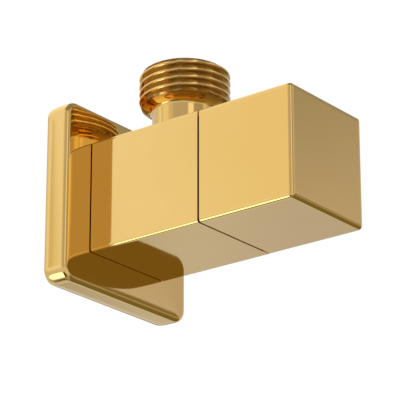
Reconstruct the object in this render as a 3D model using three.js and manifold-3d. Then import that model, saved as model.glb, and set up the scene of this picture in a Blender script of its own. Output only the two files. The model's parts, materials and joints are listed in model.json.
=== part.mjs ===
// Quarter-turn angle stop valve with a square body, a square knob and a square wall flange.
//
// Millimetres, +Z up. The origin lies on the axis shared by the inlet, the spindle and the knob,
// in the plane of the wall: +Y points into the wall, -Y towards the user, and the outlet points
// up +Z. Every "Y" constant is a place along that axis, and every angle in the X-Z plane is
// counted from +X towards +Z, which is also the way the knob turns to open the valve.

import * as THREE from 'three';
import { mergeVertices } from 'three/addons/utils/BufferGeometryUtils.js';
import { RoundedBoxGeometry } from 'three/addons/geometries/RoundedBoxGeometry.js';
import Module from 'manifold-3d';

// ---------------------------------------------------------------- driving dimensions

const SECTION = 26.5; // side of the square body and knob
const FLANGE_SIDE = 43;
const FLANGE_DEPTH = 6.5;
const FLANGE_GAP = 0.3; // seam between the flange and the body
const BODY_LENGTH = 30.35;
const KNOB_GAP = 0.5;
const KNOB_LENGTH = 25;
const TAIL_REACH = 8; // how far the inlet tail stands out behind the wall plane
const OUTLET_Y = -23.1;
const OUTLET_TOP = 30.3;
const OUTLET_THREAD_LENGTH = 9.1;

// G 1/2 pipe thread on the inlet and the outlet
const PIPE_CREST = 20.955 / 2;
const PIPE_ROOT = 18.631 / 2;
const PIPE_PITCH = 1.814;

// M20 x 1 thread between the cartridge and the body
const CARTRIDGE_CREST = 9.85;
const CARTRIDGE_ROOT = 9.25;
const CARTRIDGE_PITCH = 1;

const CLEARANCE = 0.05; // between faces that touch
const CUT_PAST = 1; // how far a cutting tool runs past the face it leaves
const ROUND = 32; // facets of a large round
const SMALL_ROUND = 20; // facets of a small round

// ---------------------------------------------------------------- places along the axis

const BODY_BACK_Y = -FLANGE_DEPTH - FLANGE_GAP;
const BODY_FRONT_Y = BODY_BACK_Y - BODY_LENGTH;
const KNOB_BACK_Y = BODY_FRONT_Y - KNOB_GAP;
const KNOB_FRONT_Y = KNOB_BACK_Y - KNOB_LENGTH;

const SEAT_Y = -15.5; // face in the body that the cartridge seals against
const CHAMBER_FRONT_Y = -29;
const DISC_THICKNESS = 2.5;
const SEAL_THICKNESS = 2;
const SEAL_FRONT_Y = SEAT_Y - CLEARANCE - SEAL_THICKNESS;
const FIXED_DISC_FRONT_Y = SEAL_FRONT_Y - CLEARANCE - DISC_THICKNESS;
const MOVING_DISC_FRONT_Y = FIXED_DISC_FRONT_Y - CLEARANCE - DISC_THICKNESS;
const DRIVER_HEIGHT = 4.6; // the bar on the spindle that turns the moving disc
const DRIVER_FRONT_Y = MOVING_DISC_FRONT_Y - CLEARANCE - DRIVER_HEIGHT;
const WASHER_FRONT_Y = DRIVER_FRONT_Y - CLEARANCE - 0.6;
const CAVITY_FRONT_Y = WASHER_FRONT_Y - CLEARANCE;
const COLLAR_BACK_Y = BODY_FRONT_Y - CLEARANCE;
const COLLAR_FRONT_Y = COLLAR_BACK_Y - 1.5;
const HEXAGON_FRONT_Y = COLLAR_FRONT_Y - 3.5;
const INNER_GROOVE_Y = -31.1; // middles of the spindle's two seal grooves
const OUTER_GROOVE_Y = -35.1;
const STEP_Y = -40.7; // where the spindle narrows inside the nose
const NOSE_FRONT_Y = -49;
const STOP_HEIGHT = 1.5;
const CIRCLIP_BACK_Y = NOSE_FRONT_Y - STOP_HEIGHT - 0.3;
const CIRCLIP_THICKNESS = 0.7;
const SPLINE_BACK_Y = CIRCLIP_BACK_Y - CIRCLIP_THICKNESS - 0.7;
const ADAPTER_LENGTH = 4.8;
const ADAPTER_FRONT_Y = SPLINE_BACK_Y - ADAPTER_LENGTH;
const SPINDLE_FRONT_Y = ADAPTER_FRONT_Y + 0.2;
const LOCK_WASHER_BACK_Y = ADAPTER_FRONT_Y - CLEARANCE;
const LOCK_WASHER_FRONT_Y = LOCK_WASHER_BACK_Y - 0.7;
const KNOB_BORE_FRONT_Y = SPLINE_BACK_Y + 0.2;
const KNOB_SOCKET_FRONT_Y = KNOB_FRONT_Y + 3.2;
const SET_SCREW_Y = SPLINE_BACK_Y - ADAPTER_LENGTH / 2;

// ---------------------------------------------------------------- radii and widths

const NECK_RADIUS = 7.5;
const OUTLET_BORE = 4.75;
const INLET_BORE = 5;
const STRAINER_POCKET = 7.1;
const CHAMBER_RADIUS = 9.2;
const MOUTH_RADIUS = 10.05;
const SLEEVE_RADIUS = 7.9;
const SEAL_POCKET = 7.25;
const CAVITY_RADIUS = 6.6;
const DISC_RADIUS = 6.3;
const COLLAR_RADIUS = 11.3;
const HEXAGON_FLATS = 19;
const NOSE_RADIUS = 6.2;
const WIDE_JOURNAL = 4.4;
const NARROW_JOURNAL = 3.4;
const RUNNING_GAP = 0.1;
const GROOVE_RADIUS = 3.2;
const GROOVE_WIDTH = 1.6;
const SPLINE_TEETH = 20;
const SPLINE_DEPTH = 0.3;
const SPLINE_GAP = 0.15;
const KNOB_BORE = 11.7;
const ADAPTER_SIDE = 12;
const ADAPTER_GAP = 0.15;
const KEY_WIDTH = 2.6;
const QUARTER_TURN = 90; // degrees from closed to open
const STOP_SPAN = 60; // degrees taken by each stop lug on the nose
const STOP_PLAY = 1; // degrees left between a stop and its tab

// ---------------------------------------------------------------- materials

function metal(color, roughness) {
  return new THREE.MeshStandardMaterial({ color, roughness, metalness: 1 });
}

function plain(color, roughness) {
  return new THREE.MeshStandardMaterial({ color, roughness, metalness: 0 });
}

const polishedGold = () => metal(0xe9c071, 0.08);
const machinedBrass = () => metal(0xc9a85c, 0.35);
const stainlessSteel = () => metal(0xc4c6c8, 0.25);
const blackRubber = () => plain(0x1b1b1c, 0.75);
const whiteCeramic = () => plain(0xece7dc, 0.2);
const whitePolymer = () => plain(0xf0eee8, 0.5);

// ---------------------------------------------------------------- solids

const wasm = await Module();
wasm.setup();

/** Six times the volume that the triangles enclose: negative when they face inwards. */
function enclosedVolume(positions, triangles) {
  const corner = (slot) => new THREE.Vector3().fromArray(positions, 3 * slot);
  let total = 0;
  for (let i = 0; i < triangles.length; i += 3) {
    const [a, b, c] = [0, 1, 2].map((k) => corner(triangles[i + k]));
    total += a.dot(b.cross(c));
  }
  return total;
}

/** A closed three.js geometry as a solid that can be joined and cut. */
function solid(geometry) {
  const bare = geometry.clone();
  bare.deleteAttribute('normal');
  bare.deleteAttribute('uv');
  const merged = mergeVertices(bare, 1e-4);
  const positions = new Float32Array(merged.attributes.position.array);
  const triangles = [];
  for (let i = 0; i < merged.index.count; i += 3) {
    const [a, b, c] = merged.index.array.slice(i, i + 3);
    if (a !== b && b !== c && c !== a) {
      triangles.push(a, b, c);
    }
  }
  if (enclosedVolume(positions, triangles) < 0) {
    triangles.reverse();
  }
  const mesh = new wasm.Mesh({
    numProp: 3,
    vertProperties: positions,
    triVerts: new Uint32Array(triangles),
  });
  return new wasm.Manifold(mesh);
}

/** A named mesh from a solid. */
function piece(name, shape, material) {
  const { vertProperties, triVerts } = shape.getMesh();
  const geometry = new THREE.BufferGeometry();
  geometry.setAttribute('position', new THREE.BufferAttribute(vertProperties, 3));
  geometry.setIndex(new THREE.BufferAttribute(triVerts, 1));
  geometry.computeVertexNormals();
  const mesh = new THREE.Mesh(geometry, material);
  mesh.name = name;
  return mesh;
}

/** A body of revolution about Y from [radius, y] pairs, closed on itself or on the axis. */
function turned(outline, facets = ROUND) {
  const points = outline.map(([radius, y]) => new THREE.Vector2(radius, y));
  if (outline[0][0] > 0) {
    points.push(points[0].clone());
  }
  return solid(new THREE.LatheGeometry(points, facets));
}

function rod(radius, backY, frontY, facets = ROUND) {
  return turned([[0, backY], [radius, backY], [radius, frontY], [0, frontY]], facets);
}

function ring(inner, outer, backY, frontY, facets = ROUND) {
  return turned([[inner, backY], [outer, backY], [outer, frontY], [inner, frontY]], facets);
}

function oRing(middleRadius, sectionRadius, y, facets = ROUND) {
  const geometry = new THREE.TorusGeometry(middleRadius, sectionRadius, 8, facets);
  return solid(geometry.rotateX(Math.PI / 2).translate(0, y, 0));
}

/** A flat outline drawn in X-Z, given thickness from backY towards the user to frontY. */
function prism(outline, backY, frontY, curveSegments = 6) {
  const depth = backY - frontY;
  const geometry = new THREE.ExtrudeGeometry(outline, { depth, bevelEnabled: false, curveSegments });
  return solid(geometry.rotateX(Math.PI / 2).translate(0, backY, 0));
}

function block(width, height, backY, frontY) {
  const geometry = new THREE.BoxGeometry(width, backY - frontY, height);
  return solid(geometry.translate(0, (backY + frontY) / 2, 0));
}

/** Turns a solid made about Y so that it stands on the outlet axis, its Y becoming Z. */
function onOutletAxis(shape) {
  return shape.rotate([90, 0, 0]).translate([0, OUTLET_Y, 0]);
}

// ---------------------------------------------------------------- outlines

function roundedSquare(side, radius) {
  const reach = side / 2 - radius;
  const outline = new THREE.Shape();
  for (let corner = 0; corner < 4; corner += 1) {
    const start = (corner * Math.PI) / 2;
    const middle = start + Math.PI / 4;
    const x = Math.SQRT2 * reach * Math.cos(middle);
    const y = Math.SQRT2 * reach * Math.sin(middle);
    outline.absarc(x, y, radius, start, start + Math.PI / 2, false);
  }
  outline.closePath();
  return outline;
}

function polygon(points) {
  return new THREE.Shape(points.map(([radius, angle]) => (
    new THREE.Vector2(radius * Math.cos(angle), radius * Math.sin(angle))
  )));
}

function hexagon(acrossFlats) {
  const radius = acrossFlats / Math.sqrt(3);
  return polygon([0, 1, 2, 3, 4, 5].map((k) => [radius, (k * Math.PI) / 3]));
}

/** The toothed outline of a splined shaft, or of its socket when made larger. */
function spline(tipRadius) {
  const points = [];
  for (let tooth = 0; tooth < 2 * SPLINE_TEETH; tooth += 1) {
    const radius = tooth % 2 ? tipRadius - SPLINE_DEPTH : tipRadius;
    points.push([radius, (tooth * Math.PI) / SPLINE_TEETH]);
  }
  return polygon(points);
}

/** Part of a ring between two angles in degrees. */
function sector(inner, outer, fromAngle, toAngle) {
  const [from, to] = [fromAngle, toAngle].map(THREE.MathUtils.degToRad);
  const outline = new THREE.Shape();
  outline.absarc(0, 0, outer, from, to, false);
  outline.absarc(0, 0, inner, to, from, true);
  outline.closePath();
  return outline;
}

/** Crests and roots of a thread from one place along Y to another, as [radius, y] pairs. */
function threadOutline(root, crest, pitch, fromY, toY) {
  const turns = Math.floor(Math.abs(toY - fromY) / pitch);
  const step = Math.sign(toY - fromY) * pitch;
  const points = [];
  for (let turn = 0; turn < turns; turn += 1) {
    const start = fromY + turn * step;
    points.push([root, start], [crest, start + step / 2]);
  }
  points.push([root, fromY + turns * step]);
  return points;
}

/** Two copies of a shape, half a turn apart about the main axis. */
function pairAboutAxis(shape) {
  return shape.add(shape.rotate([0, 180, 0]));
}

// ---------------------------------------------------------------- body and wall side

function inletTail() {
  const rootY = BODY_BACK_Y - 1;
  const thread = threadOutline(PIPE_ROOT, PIPE_CREST, PIPE_PITCH, BODY_BACK_Y + 1, TAIL_REACH - 0.4);
  return turned([[0, rootY], [PIPE_ROOT, rootY], ...thread, [PIPE_ROOT - 0.4, TAIL_REACH], [0, TAIL_REACH]]);
}

function outletNeck() {
  const threadFoot = OUTLET_TOP - OUTLET_THREAD_LENGTH;
  const thread = threadOutline(PIPE_ROOT, PIPE_CREST, PIPE_PITCH, threadFoot, OUTLET_TOP - 0.2);
  const insideBody = SECTION / 2 - 1;
  return onOutletAxis(turned([
    [0, insideBody],
    [NECK_RADIUS, insideBody],
    [NECK_RADIUS, threadFoot - 1.2],
    [NECK_RADIUS + 0.8, threadFoot - 0.3],
    ...thread,
    [PIPE_ROOT - 0.5, OUTLET_TOP],
    [0, OUTLET_TOP],
  ]));
}

function valveBody() {
  const middleY = (BODY_BACK_Y + BODY_FRONT_Y) / 2;
  const bar = new RoundedBoxGeometry(SECTION, BODY_LENGTH, SECTION, 2, 0.6).translate(0, middleY, 0);
  const outletBore = onOutletAxis(rod(OUTLET_BORE, CHAMBER_RADIUS / 2, OUTLET_TOP + CUT_PAST));
  return solid(bar)
    .add(inletTail())
    .add(outletNeck())
    .subtract(rod(INLET_BORE, TAIL_REACH + CUT_PAST, SEAT_Y - CUT_PAST))
    .subtract(rod(STRAINER_POCKET, TAIL_REACH + CUT_PAST, -1.3))
    .subtract(rod(CHAMBER_RADIUS, SEAT_Y, CHAMBER_FRONT_Y - CUT_PAST))
    .subtract(rod(MOUTH_RADIUS, CHAMBER_FRONT_Y, BODY_FRONT_Y - CUT_PAST))
    .subtract(outletBore);
}

/** A perforated cup that catches grit in the mouth of the inlet. */
function inletStrainer() {
  const rimBackY = TAIL_REACH - 0.4;
  const rimFrontY = TAIL_REACH - 1.8;
  const cup = turned([
    [0, -0.9], [3.6, -0.7], [4.9, 0.2],
    [5.6, rimFrontY], [STRAINER_POCKET - 0.15, rimFrontY],
    [STRAINER_POCKET - 0.15, rimBackY], [5, rimBackY], [4.4, 0.5], [3.4, -0.2], [0, -0.4],
  ]);
  const slots = [0, 1, 2, 3].map((k) => block(1.2, 16, rimFrontY - 0.8, 1).rotate([0, 45 * k, 0]));
  return slots.reduce((shape, slot) => shape.subtract(slot), cup);
}

/** A shallow square cup that hides the hole in the wall. */
function wallFlange() {
  const edge = 1.2;
  const wall = 1.4;
  const corner = 3.5;
  const hole = PIPE_CREST + 0.35;
  const outer = new THREE.ExtrudeGeometry(roundedSquare(FLANGE_SIDE - 2 * edge, corner - edge), {
    depth: FLANGE_DEPTH,
    bevelThickness: edge,
    bevelSize: edge,
    bevelSegments: 3,
    curveSegments: 5,
  });
  outer.rotateX(Math.PI / 2).translate(0, edge, 0);
  const hollow = prism(roundedSquare(FLANGE_SIDE - 2 * wall, corner - wall), CUT_PAST, wall - FLANGE_DEPTH);
  return solid(outer)
    .subtract(block(2 * FLANGE_SIDE, 2 * FLANGE_SIDE, FLANGE_DEPTH, 0))
    .subtract(hollow)
    .subtract(rod(hole, CUT_PAST, -FLANGE_DEPTH - CUT_PAST));
}

function flangeGripRing() {
  return ring(PIPE_CREST + 0.12, 12.8, -2.8, -5.1);
}

// ---------------------------------------------------------------- cartridge

/** The headwork: a screwed-in housing with a hexagon, water windows and two stop lugs. */
function cartridgeHousing() {
  const grooveFrontY = BODY_FRONT_Y + 0.3;
  const grooveBackY = grooveFrontY + 2;
  const thread = threadOutline(
    CARTRIDGE_ROOT, CARTRIDGE_CREST, CARTRIDGE_PITCH, CHAMBER_FRONT_Y - 0.5, grooveBackY,
  );
  const outside = turned([
    [0, SEAT_Y - 0.7],
    [SLEEVE_RADIUS, SEAT_Y - 0.7],
    [SLEEVE_RADIUS, CHAMBER_FRONT_Y - 0.5],
    ...thread,
    [8.3, grooveBackY - 0.1],
    [8.3, grooveFrontY],
    [9.6, grooveFrontY - 0.1],
    [9.6, COLLAR_BACK_Y],
    [COLLAR_RADIUS, COLLAR_BACK_Y],
    [COLLAR_RADIUS, COLLAR_FRONT_Y],
    [NOSE_RADIUS, COLLAR_FRONT_Y],
    [NOSE_RADIUS, NOSE_FRONT_Y],
    [0, NOSE_FRONT_Y],
  ]);
  const hexagonNut = prism(hexagon(HEXAGON_FLATS), COLLAR_FRONT_Y + 0.5, HEXAGON_FRONT_Y);
  const half = STOP_SPAN / 2;
  const stop = prism(sector(4.6, NOSE_RADIUS, -half, half), NOSE_FRONT_Y + 0.5, NOSE_FRONT_Y - STOP_HEIGHT);
  const window = block(8, 2 * SLEEVE_RADIUS + CUT_PAST, MOVING_DISC_FRONT_Y - 0.2, DRIVER_FRONT_Y + 0.2);
  const keyway = block(KEY_WIDTH + 0.3, 2 * SLEEVE_RADIUS + CUT_PAST, SEAT_Y, FIXED_DISC_FRONT_Y - 0.1);
  return outside
    .add(hexagonNut)
    .add(pairAboutAxis(stop))
    .subtract(rod(SEAL_POCKET, SEAT_Y, SEAL_FRONT_Y))
    .subtract(rod(CAVITY_RADIUS, SEAT_Y, CAVITY_FRONT_Y))
    .subtract(rod(WIDE_JOURNAL + RUNNING_GAP, SEAT_Y, STEP_Y - 0.1))
    .subtract(rod(NARROW_JOURNAL + RUNNING_GAP, STEP_Y + CUT_PAST, NOSE_FRONT_Y - CUT_PAST))
    .subtract(window)
    .subtract(keyway);
}

function housingORing() {
  return oRing(9.18, 0.8, BODY_FRONT_Y + 1.3);
}

function seatSeal() {
  return turned([
    [4.6, SEAT_Y - CLEARANCE - 0.4],
    [5.2, SEAT_Y - CLEARANCE],
    [6.6, SEAT_Y - CLEARANCE],
    [7.1, SEAT_Y - CLEARANCE - 0.5],
    [7.1, SEAL_FRONT_Y],
    [4.6, SEAL_FRONT_Y],
  ]);
}

/** The two water windows of a ceramic disc, centred on the given angle and opposite it. */
function discWindows(centre, backY, frontY) {
  const halfSpan = 38;
  const opening = sector(1.6, 5, centre - halfSpan, centre + halfSpan);
  return pairAboutAxis(prism(opening, backY + CUT_PAST, frontY - CUT_PAST));
}

function fixedCeramicDisc() {
  const backY = SEAL_FRONT_Y - CLEARANCE;
  const keys = block(KEY_WIDTH, 2 * (SEAL_POCKET + 0.4), backY, FIXED_DISC_FRONT_Y);
  return rod(DISC_RADIUS, backY, FIXED_DISC_FRONT_Y)
    .add(keys)
    .subtract(discWindows(0, backY, FIXED_DISC_FRONT_Y));
}

function movingCeramicDisc() {
  const backY = FIXED_DISC_FRONT_Y - CLEARANCE;
  const notches = block(3 * DISC_RADIUS, KEY_WIDTH + 0.2, backY - 1, MOVING_DISC_FRONT_Y - CUT_PAST)
    .subtract(rod(4, backY, MOVING_DISC_FRONT_Y - 2 * CUT_PAST));
  return rod(DISC_RADIUS - 0.1, backY, MOVING_DISC_FRONT_Y)
    .subtract(notches)
    .subtract(discWindows(90, backY, MOVING_DISC_FRONT_Y));
}

/** The spindle: a driving bar, two journals with seal grooves, stop flats and a spline. */
function spindle() {
  const driverReach = 5.7;
  const journalBackY = MOVING_DISC_FRONT_Y - CLEARANCE;
  const bar = block(2 * driverReach, 5, journalBackY, DRIVER_FRONT_Y);
  const prong = block(2 * driverReach, KEY_WIDTH, journalBackY + 1.1, journalBackY - CUT_PAST)
    .subtract(rod(4.3, SEAT_Y, journalBackY));
  const [innerGroove, outerGroove] = [INNER_GROOVE_Y, OUTER_GROOVE_Y].map((y) => (
    ring(GROOVE_RADIUS, WIDE_JOURNAL + 1, y + GROOVE_WIDTH / 2, y - GROOVE_WIDTH / 2)
  ));
  const flatWidth = 5.4;
  const flats = block(4 * NARROW_JOURNAL, 4 * NARROW_JOURNAL, NOSE_FRONT_Y, CIRCLIP_BACK_Y)
    .subtract(block(flatWidth, 5 * NARROW_JOURNAL, NOSE_FRONT_Y + CUT_PAST, CIRCLIP_BACK_Y - CUT_PAST));
  const clipGroove = ring(2.7, 2 * NARROW_JOURNAL, CIRCLIP_BACK_Y, CIRCLIP_BACK_Y - CIRCLIP_THICKNESS - 0.1);
  const screwHole = rod(2, SPLINE_BACK_Y, SPINDLE_FRONT_Y - CUT_PAST, SMALL_ROUND);
  return rod(WIDE_JOURNAL, journalBackY, STEP_Y)
    .add(rod(NARROW_JOURNAL, STEP_Y + CUT_PAST, SPLINE_BACK_Y))
    .add(prism(spline(NARROW_JOURNAL), SPLINE_BACK_Y + 0.3, SPINDLE_FRONT_Y))
    .add(bar)
    .add(prong)
    .subtract(innerGroove)
    .subtract(outerGroove)
    .subtract(flats)
    .subtract(clipGroove)
    .subtract(screwHole);
}

function frictionWasher() {
  return ring(WIDE_JOURNAL + RUNNING_GAP, DISC_RADIUS, DRIVER_FRONT_Y - CLEARANCE, WASHER_FRONT_Y);
}

function spindleORing(y) {
  return oRing((GROOVE_RADIUS + WIDE_JOURNAL) / 2 + 0.04, 0.58, y, SMALL_ROUND);
}

/** A washer on the spindle's flats whose two tabs run between the stop lugs of the nose. */
function stopWasher() {
  const backY = NOSE_FRONT_Y - 0.15;
  const frontY = NOSE_FRONT_Y - STOP_HEIGHT + 0.35;
  const tabStart = STOP_SPAN / 2 + STOP_PLAY;
  const tabEnd = 180 - STOP_SPAN / 2 - STOP_PLAY - QUARTER_TURN;
  const tab = prism(sector(3.8, NOSE_RADIUS - 0.2, tabStart, tabEnd), backY, frontY);
  const flatHole = rod(NARROW_JOURNAL + RUNNING_GAP, backY + CUT_PAST, frontY - CUT_PAST)
    .intersect(block(5.6, 4 * NARROW_JOURNAL, backY + CUT_PAST, frontY - CUT_PAST));
  return rod(4.4, backY, frontY).add(pairAboutAxis(tab)).subtract(flatHole);
}

function spindleCirclip() {
  const clip = sector(2.8, 5, -60, 240);
  return prism(clip, CIRCLIP_BACK_Y - CLEARANCE, CIRCLIP_BACK_Y - CIRCLIP_THICKNESS, SMALL_ROUND);
}

// ---------------------------------------------------------------- handle

function splineAdapter() {
  const outline = roundedSquare(ADAPTER_SIDE, 0.8);
  const socket = spline(NARROW_JOURNAL + SPLINE_GAP);
  return prism(outline, SPLINE_BACK_Y, ADAPTER_FRONT_Y, 2)
    .subtract(prism(socket, SPLINE_BACK_Y + CUT_PAST, ADAPTER_FRONT_Y - CUT_PAST));
}

/** A split spring washer. */
function lockWasher() {
  return prism(sector(2.15, 3.6, 8, 352), LOCK_WASHER_BACK_Y, LOCK_WASHER_FRONT_Y, SMALL_ROUND);
}

/** A pan-head screw with a crossed recess, into the end of the spindle. */
function adapterScrew() {
  const headBackY = LOCK_WASHER_FRONT_Y - CLEARANCE;
  const headFrontY = headBackY - 1.5;
  const slot = block(4, 0.8, headBackY - 0.6, headFrontY - CUT_PAST);
  return turned([
    [0, SPLINE_BACK_Y - 0.4],
    [1.6, SPLINE_BACK_Y - 0.4],
    [1.9, SPLINE_BACK_Y - 0.7],
    [1.9, headBackY],
    [3.4, headBackY],
    [3.2, headFrontY + 0.5],
    [2.4, headFrontY],
    [0, headFrontY],
  ], SMALL_ROUND)
    .subtract(slot)
    .subtract(slot.rotate([0, 90, 0]));
}

/** Turns a solid made about Y so that it lies on the set screw's axis, its Y becoming X. */
function onSetScrewAxis(shape) {
  return shape.rotate([0, 0, -90]).translate([0, SET_SCREW_Y, 0]);
}

/** The square handle: bored for the cartridge, with a square socket for the spline adapter. */
function knob() {
  const middleY = (KNOB_BACK_Y + KNOB_FRONT_Y) / 2;
  const shell = new RoundedBoxGeometry(SECTION, KNOB_LENGTH, SECTION, 2, 0.9).translate(0, middleY, 0);
  const socketSide = ADAPTER_SIDE + 2 * ADAPTER_GAP;
  return solid(shell)
    .subtract(rod(KNOB_BORE, KNOB_BACK_Y + CUT_PAST, KNOB_BORE_FRONT_Y))
    .subtract(block(socketSide, socketSide, KNOB_BORE_FRONT_Y + CUT_PAST, KNOB_SOCKET_FRONT_Y))
    .subtract(onSetScrewAxis(rod(2.6, SECTION, 0, SMALL_ROUND)));
}

function knobSetScrew() {
  const tip = ADAPTER_SIDE / 2 + 0.1;
  const end = tip + 6;
  const grub = turned([
    [0, tip], [1.6, tip], [2.45, tip + 0.8], [2.45, end - 0.3], [2.15, end], [0, end],
  ], SMALL_ROUND);
  return onSetScrewAxis(grub.subtract(prism(hexagon(2.5), end + CUT_PAST, end - 2.4)));
}

// ---------------------------------------------------------------- the assembly

const valve = new THREE.Group();
valve.add(
  piece('valve_body', valveBody(), polishedGold()),
  piece('inlet_strainer', inletStrainer(), stainlessSteel()),
  piece('wall_flange', wallFlange(), polishedGold()),
  piece('flange_grip_ring', flangeGripRing(), blackRubber()),
  piece('cartridge_housing', cartridgeHousing(), machinedBrass()),
  piece('housing_o_ring', housingORing(), blackRubber()),
  piece('seat_seal', seatSeal(), blackRubber()),
  piece('fixed_ceramic_disc', fixedCeramicDisc(), whiteCeramic()),
  piece('moving_ceramic_disc', movingCeramicDisc(), whiteCeramic()),
  piece('spindle', spindle(), machinedBrass()),
  piece('friction_washer', frictionWasher(), whitePolymer()),
  piece('spindle_o_ring_inner', spindleORing(INNER_GROOVE_Y), blackRubber()),
  piece('spindle_o_ring_outer', spindleORing(OUTER_GROOVE_Y), blackRubber()),
  piece('stop_washer', stopWasher(), machinedBrass()),
  piece('spindle_circlip', spindleCirclip(), stainlessSteel()),
  piece('spline_adapter', splineAdapter(), machinedBrass()),
  piece('lock_washer', lockWasher(), stainlessSteel()),
  piece('adapter_screw', adapterScrew(), stainlessSteel()),
  piece('knob', knob(), polishedGold()),
  piece('knob_set_screw', knobSetScrew(), stainlessSteel()),
);

export default valve;
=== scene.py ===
"""The looks of a square quarter-turn angle stop valve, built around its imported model.

Lengths are in millimetres until a mesh is made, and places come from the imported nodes' boxes.
The row frame has +Y into the wall, -Y towards the user and +Z up the outlet. Outlines of turned
pieces are lists of (radius, place along the axis).
"""

import json
import math

import bmesh
import bpy
from mathutils import Matrix, Vector


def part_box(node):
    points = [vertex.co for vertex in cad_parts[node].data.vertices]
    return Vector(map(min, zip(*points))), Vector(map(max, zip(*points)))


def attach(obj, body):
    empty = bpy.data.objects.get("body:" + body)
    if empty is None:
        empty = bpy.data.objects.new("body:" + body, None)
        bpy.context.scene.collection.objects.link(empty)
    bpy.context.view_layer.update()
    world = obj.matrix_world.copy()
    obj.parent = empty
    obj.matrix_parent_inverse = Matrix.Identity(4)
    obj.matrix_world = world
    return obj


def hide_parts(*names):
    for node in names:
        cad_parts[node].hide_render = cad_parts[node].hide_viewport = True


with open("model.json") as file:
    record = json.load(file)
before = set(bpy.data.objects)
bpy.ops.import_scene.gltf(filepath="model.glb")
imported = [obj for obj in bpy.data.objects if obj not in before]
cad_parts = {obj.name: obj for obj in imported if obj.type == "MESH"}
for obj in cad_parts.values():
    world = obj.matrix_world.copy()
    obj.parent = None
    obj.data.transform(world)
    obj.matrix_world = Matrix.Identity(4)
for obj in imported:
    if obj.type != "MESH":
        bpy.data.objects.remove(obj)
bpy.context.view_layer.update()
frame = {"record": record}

MM = 0.001
ROUND = 128  # steps round a large turned piece
SMALL_ROUND = 64
SHARP_ANGLE = math.radians(32)


def node_box(node):
    """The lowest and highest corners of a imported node, in millimetres."""
    return [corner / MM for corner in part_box(node)]


body_low, body_high = node_box("valve_body")
knob_low, knob_high = node_box("knob")
flange_low, flange_high = node_box("wall_flange")

HALF = knob_high.x  # half the side of the square section
KNOB_FRONT = knob_low.y
KNOB_BACK = knob_high.y
BODY_FRONT = body_low.y
TAIL_END = body_high.y
FLANGE_HALF = flange_high.x
FLANGE_FRONT = flange_low.y
FLANGE_GAP = 0.2
BODY_BACK = FLANGE_FRONT - FLANGE_GAP
BODY_LIP, KNOB_LIP = 0.04, 0.06  # how far the body and the knob reach into the gap between them
OUTLET_TOP = body_high.z
OUTLET_Y = -23.1  # the outlet's axis

PIPE_CREST = 20.955 / 2
PIPE_ROOT = 18.631 / 2
PIPE_PITCH = 1.814
THREAD_FOOT = OUTLET_TOP - 9.1  # where the outlet's thread starts


# ---------------------------------------------------------------- camera

CAMERA_AZIMUTH = -51.79
CAMERA_ELEVATION = -21.02
CAMERA_DISTANCE = 523.8
CAMERA_LENS = 210.7
AIM = Vector((-1.26, -28.5, -2.42))


def make_camera():
    data = bpy.data.cameras.new("camera")
    data.lens = CAMERA_LENS
    data.clip_start = 0.01
    data.clip_end = 50
    camera = bpy.data.objects.new("camera", data)
    bpy.context.scene.collection.objects.link(camera)
    azimuth, elevation = math.radians(CAMERA_AZIMUTH), math.radians(CAMERA_ELEVATION)
    back = Vector((
        math.sin(azimuth) * math.cos(elevation),
        -math.cos(azimuth) * math.cos(elevation),
        math.sin(elevation),
    ))
    camera.location = (AIM + CAMERA_DISTANCE * back) * MM
    camera.rotation_mode = "QUATERNION"
    camera.rotation_quaternion = (-back).to_track_quat("-Z", "Y")
    bpy.context.scene.camera = camera


# ---------------------------------------------------------------- node helpers

def add_node(tree, kind, **values):
    """A shader node with its properties (plain names) and inputs (names starting with a capital) set."""
    node = tree.nodes.new(kind)
    for name, value in values.items():
        if name[0].isupper():
            node.inputs[name.replace("_", " ")].default_value = value
        else:
            setattr(node, name, value)
    return node


def new_material(name):
    material = bpy.data.materials.new(name)
    material.use_nodes = True
    tree = material.node_tree
    return material, tree, tree.nodes["Principled BSDF"]


# ---------------------------------------------------------------- studio

def direction(azimuth, elevation):
    """A unit vector; azimuth is counted from +X towards +Y."""
    a, e = math.radians(azimuth), math.radians(elevation)
    return (math.cos(a) * math.cos(e), math.sin(a) * math.cos(e), math.sin(e))


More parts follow.
